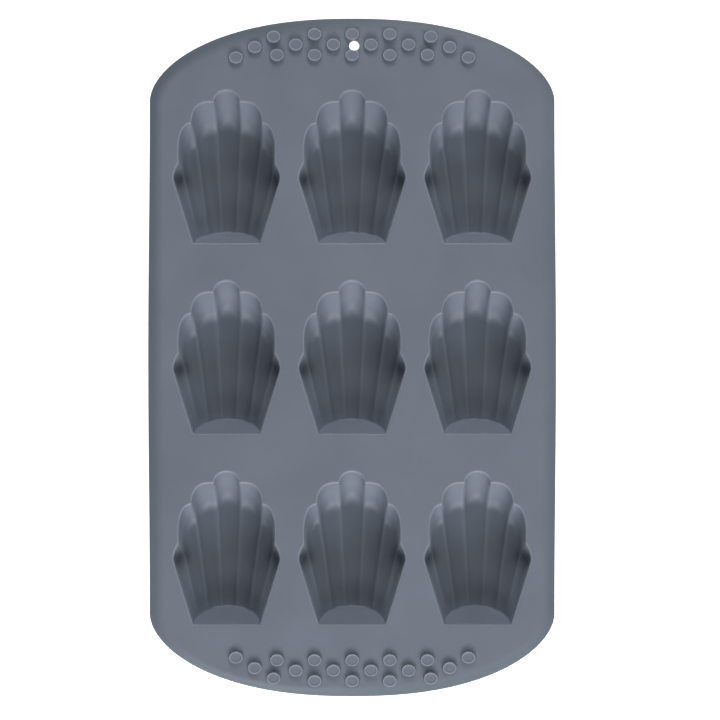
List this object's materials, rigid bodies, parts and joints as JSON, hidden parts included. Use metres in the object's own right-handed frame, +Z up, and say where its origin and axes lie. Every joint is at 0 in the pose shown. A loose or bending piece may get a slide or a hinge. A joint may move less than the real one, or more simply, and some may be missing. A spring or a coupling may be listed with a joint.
{
  "type": "madeleine pan",
  "caption": "Flexible moulded baking pan with rows of fluted shell cups, arched dotted grips, a sloping rim and a hanging hole.",
  "frame": {"origin": "on the table under the middle of the pan, at the height of the cups' crowns", "axes": "+Z up out of the cups, +Y along the pan towards the end with the hanging hole, +X across the pan"},
  "size_m": [0.177, 0.294, 0.0195],
  "materials": {
    "silicone": "satin"
  },
  "bodies": {
    "root": {"grip_flange_hang": "silicone", "deck_hang": "silicone", "deck_middle": "silicone", "deck_far": "silicone", "grip_flange_far": "silicone", "rim_hang": "silicone", "rim_right": "silicone", "rim_far": "silicone", "rim_left": "silicone", "cup_hang_left": "silicone", "cup_hang_centre": "silicone", "cup_hang_right": "silicone", "cup_middle_left": "silicone", "cup_middle_centre": "silicone", "cup_middle_right": "silicone", "cup_far_left": "silicone", "cup_far_centre": "silicone", "cup_far_right": "silicone", "grip_dots_hang": "silicone", "grip_dots_far": "silicone"}
  },
  "joints": []
}
